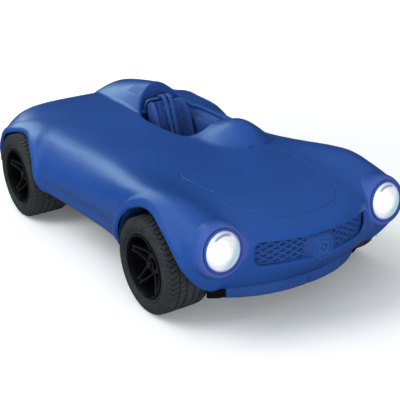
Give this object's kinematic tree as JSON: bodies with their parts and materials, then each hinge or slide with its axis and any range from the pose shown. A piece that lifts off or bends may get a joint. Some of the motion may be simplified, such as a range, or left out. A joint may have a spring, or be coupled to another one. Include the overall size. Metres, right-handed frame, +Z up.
{
  "type": "pull back toy car",
  "caption": "Open-top toy sports car with an off-centre cockpit and headrest fairing, lit round head lamps, rubber tyres and a spring motor driving the rear axle.",
  "frame": {"origin": "on the ground under the centre of the car's bounding box", "axes": "+Z up, -Y towards the nose, +X towards the driver's side (the car's left)"},
  "size_m": [0.1722, 0.312, 0.086],
  "materials": {
    "body_blue": "satin soft-touch blue",
    "cockpit_blue": "matte moulded blue",
    "chassis_plastic": "fine-textured black",
    "rim_black": "high-gloss black",
    "tyre_rubber": "matte moulded rubber",
    "steel": "bright turned",
    "spring_steel": "blued strip",
    "reflector": "vacuum-plated",
    "lamp_lens": "clear polished",
    "led_white": "lit cool white",
    "tail_red": "clear red",
    "harness_webbing": "woven",
    "gear_acetal": "natural acetal",
    "motor_case": "moulded grey",
    "board": "solder mask",
    "cell": "printed sleeve, unlabelled",
    "contact_plate": "plated",
    "cable": "vinyl sleeve",
    "switch_grey": "matte"
  },
  "bodies": {
    "car_body": {"chassis_pan": "chassis_plastic", "body_shell": "body_blue", "front_lip": "body_blue", "grille_insert": "body_blue", "front_badge": "body_blue", "headlight_bezel_left": "body_blue", "headlight_bezel_right": "body_blue", "headlight_reflector_left": "reflector", "headlight_reflector_right": "reflector", "headlight_lens_left": "lamp_lens", "headlight_lens_right": "lamp_lens", "headlight_led_left": "led_white", "headlight_led_right": "led_white", "tail_lamp_left": "tail_red", "tail_lamp_right": "tail_red", "cockpit_tub": "cockpit_blue", "driver_seat": "cockpit_blue", "seat_harness": "harness_webbing", "harness_bar": "steel", "dashboard": "cockpit_blue", "steering_wheel": "chassis_plastic", "circuit_board": "board", "wiring_loom": "cable", "battery_1": "cell", "battery_2": "cell", "battery_contact_front": "contact_plate", "battery_contact_rear": "contact_plate", "battery_cover": "chassis_plastic", "battery_cover_screw": "steel", "switch_housing": "chassis_plastic", "axle_bush_front_left": "gear_acetal", "axle_bush_front_right": "gear_acetal", "axle_bush_rear_left": "gear_acetal", "axle_bush_rear_right": "gear_acetal", "motor_case_left": "motor_case", "motor_case_right": "motor_case", "idler_shaft": "steel", "body_screw_1": "steel", "body_screw_2": "steel", "body_screw_3": "steel", "body_screw_4": "steel"},
    "front_wheelset": {"front_axle": "steel", "rim_front_left": "rim_black", "tyre_front_left": "tyre_rubber", "hub_nut_front_left": "steel", "rim_front_right": "rim_black", "tyre_front_right": "tyre_rubber", "hub_nut_front_right": "steel"},
    "rear_wheelset": {"rear_axle": "steel", "axle_pinion": "gear_acetal", "rim_rear_left": "rim_black", "tyre_rear_left": "tyre_rubber", "hub_nut_rear_left": "steel", "rim_rear_right": "rim_black", "tyre_rear_right": "tyre_rubber", "hub_nut_rear_right": "steel"},
    "idler": {"idler_gear": "gear_acetal"},
    "barrel": {"spring_barrel": "gear_acetal", "mainspring": "spring_steel"},
    "switch": {"power_switch": "switch_grey"}
  },
  "joints": [
    {"name": "front_axle_spin", "type": "hinge", "parent": "car_body", "child": "front_wheelset", "pos_m": [0, -0.0898, 0.03], "axis": [1, 0, 0], "continuous": true},
    {"name": "rear_axle_spin", "type": "hinge", "parent": "car_body", "child": "rear_wheelset", "pos_m": [0, 0.0908, 0.0315], "axis": [1, 0, 0], "continuous": true},
    {"name": "idler_spin", "type": "hinge", "parent": "car_body", "child": "idler", "pos_m": [0, 0.07564, 0.03762], "axis": [1, 0, 0], "continuous": true},
    {"name": "barrel_spin", "type": "hinge", "parent": "car_body", "child": "barrel", "pos_m": [0, 0.05978, 0.03367], "axis": [1, 0, 0], "continuous": true},
    {"name": "power_switch_slide", "type": "slide", "parent": "car_body", "child": "switch", "axis": [0, 1, 0], "range_m": [0, 0.006]}
  ],
  "couplings": [
    {"joint": "idler_spin", "follows": "rear_axle_spin", "ratio": -0.38462},
    {"joint": "barrel_spin", "follows": "rear_axle_spin", "ratio": 0.14793}
  ]
}
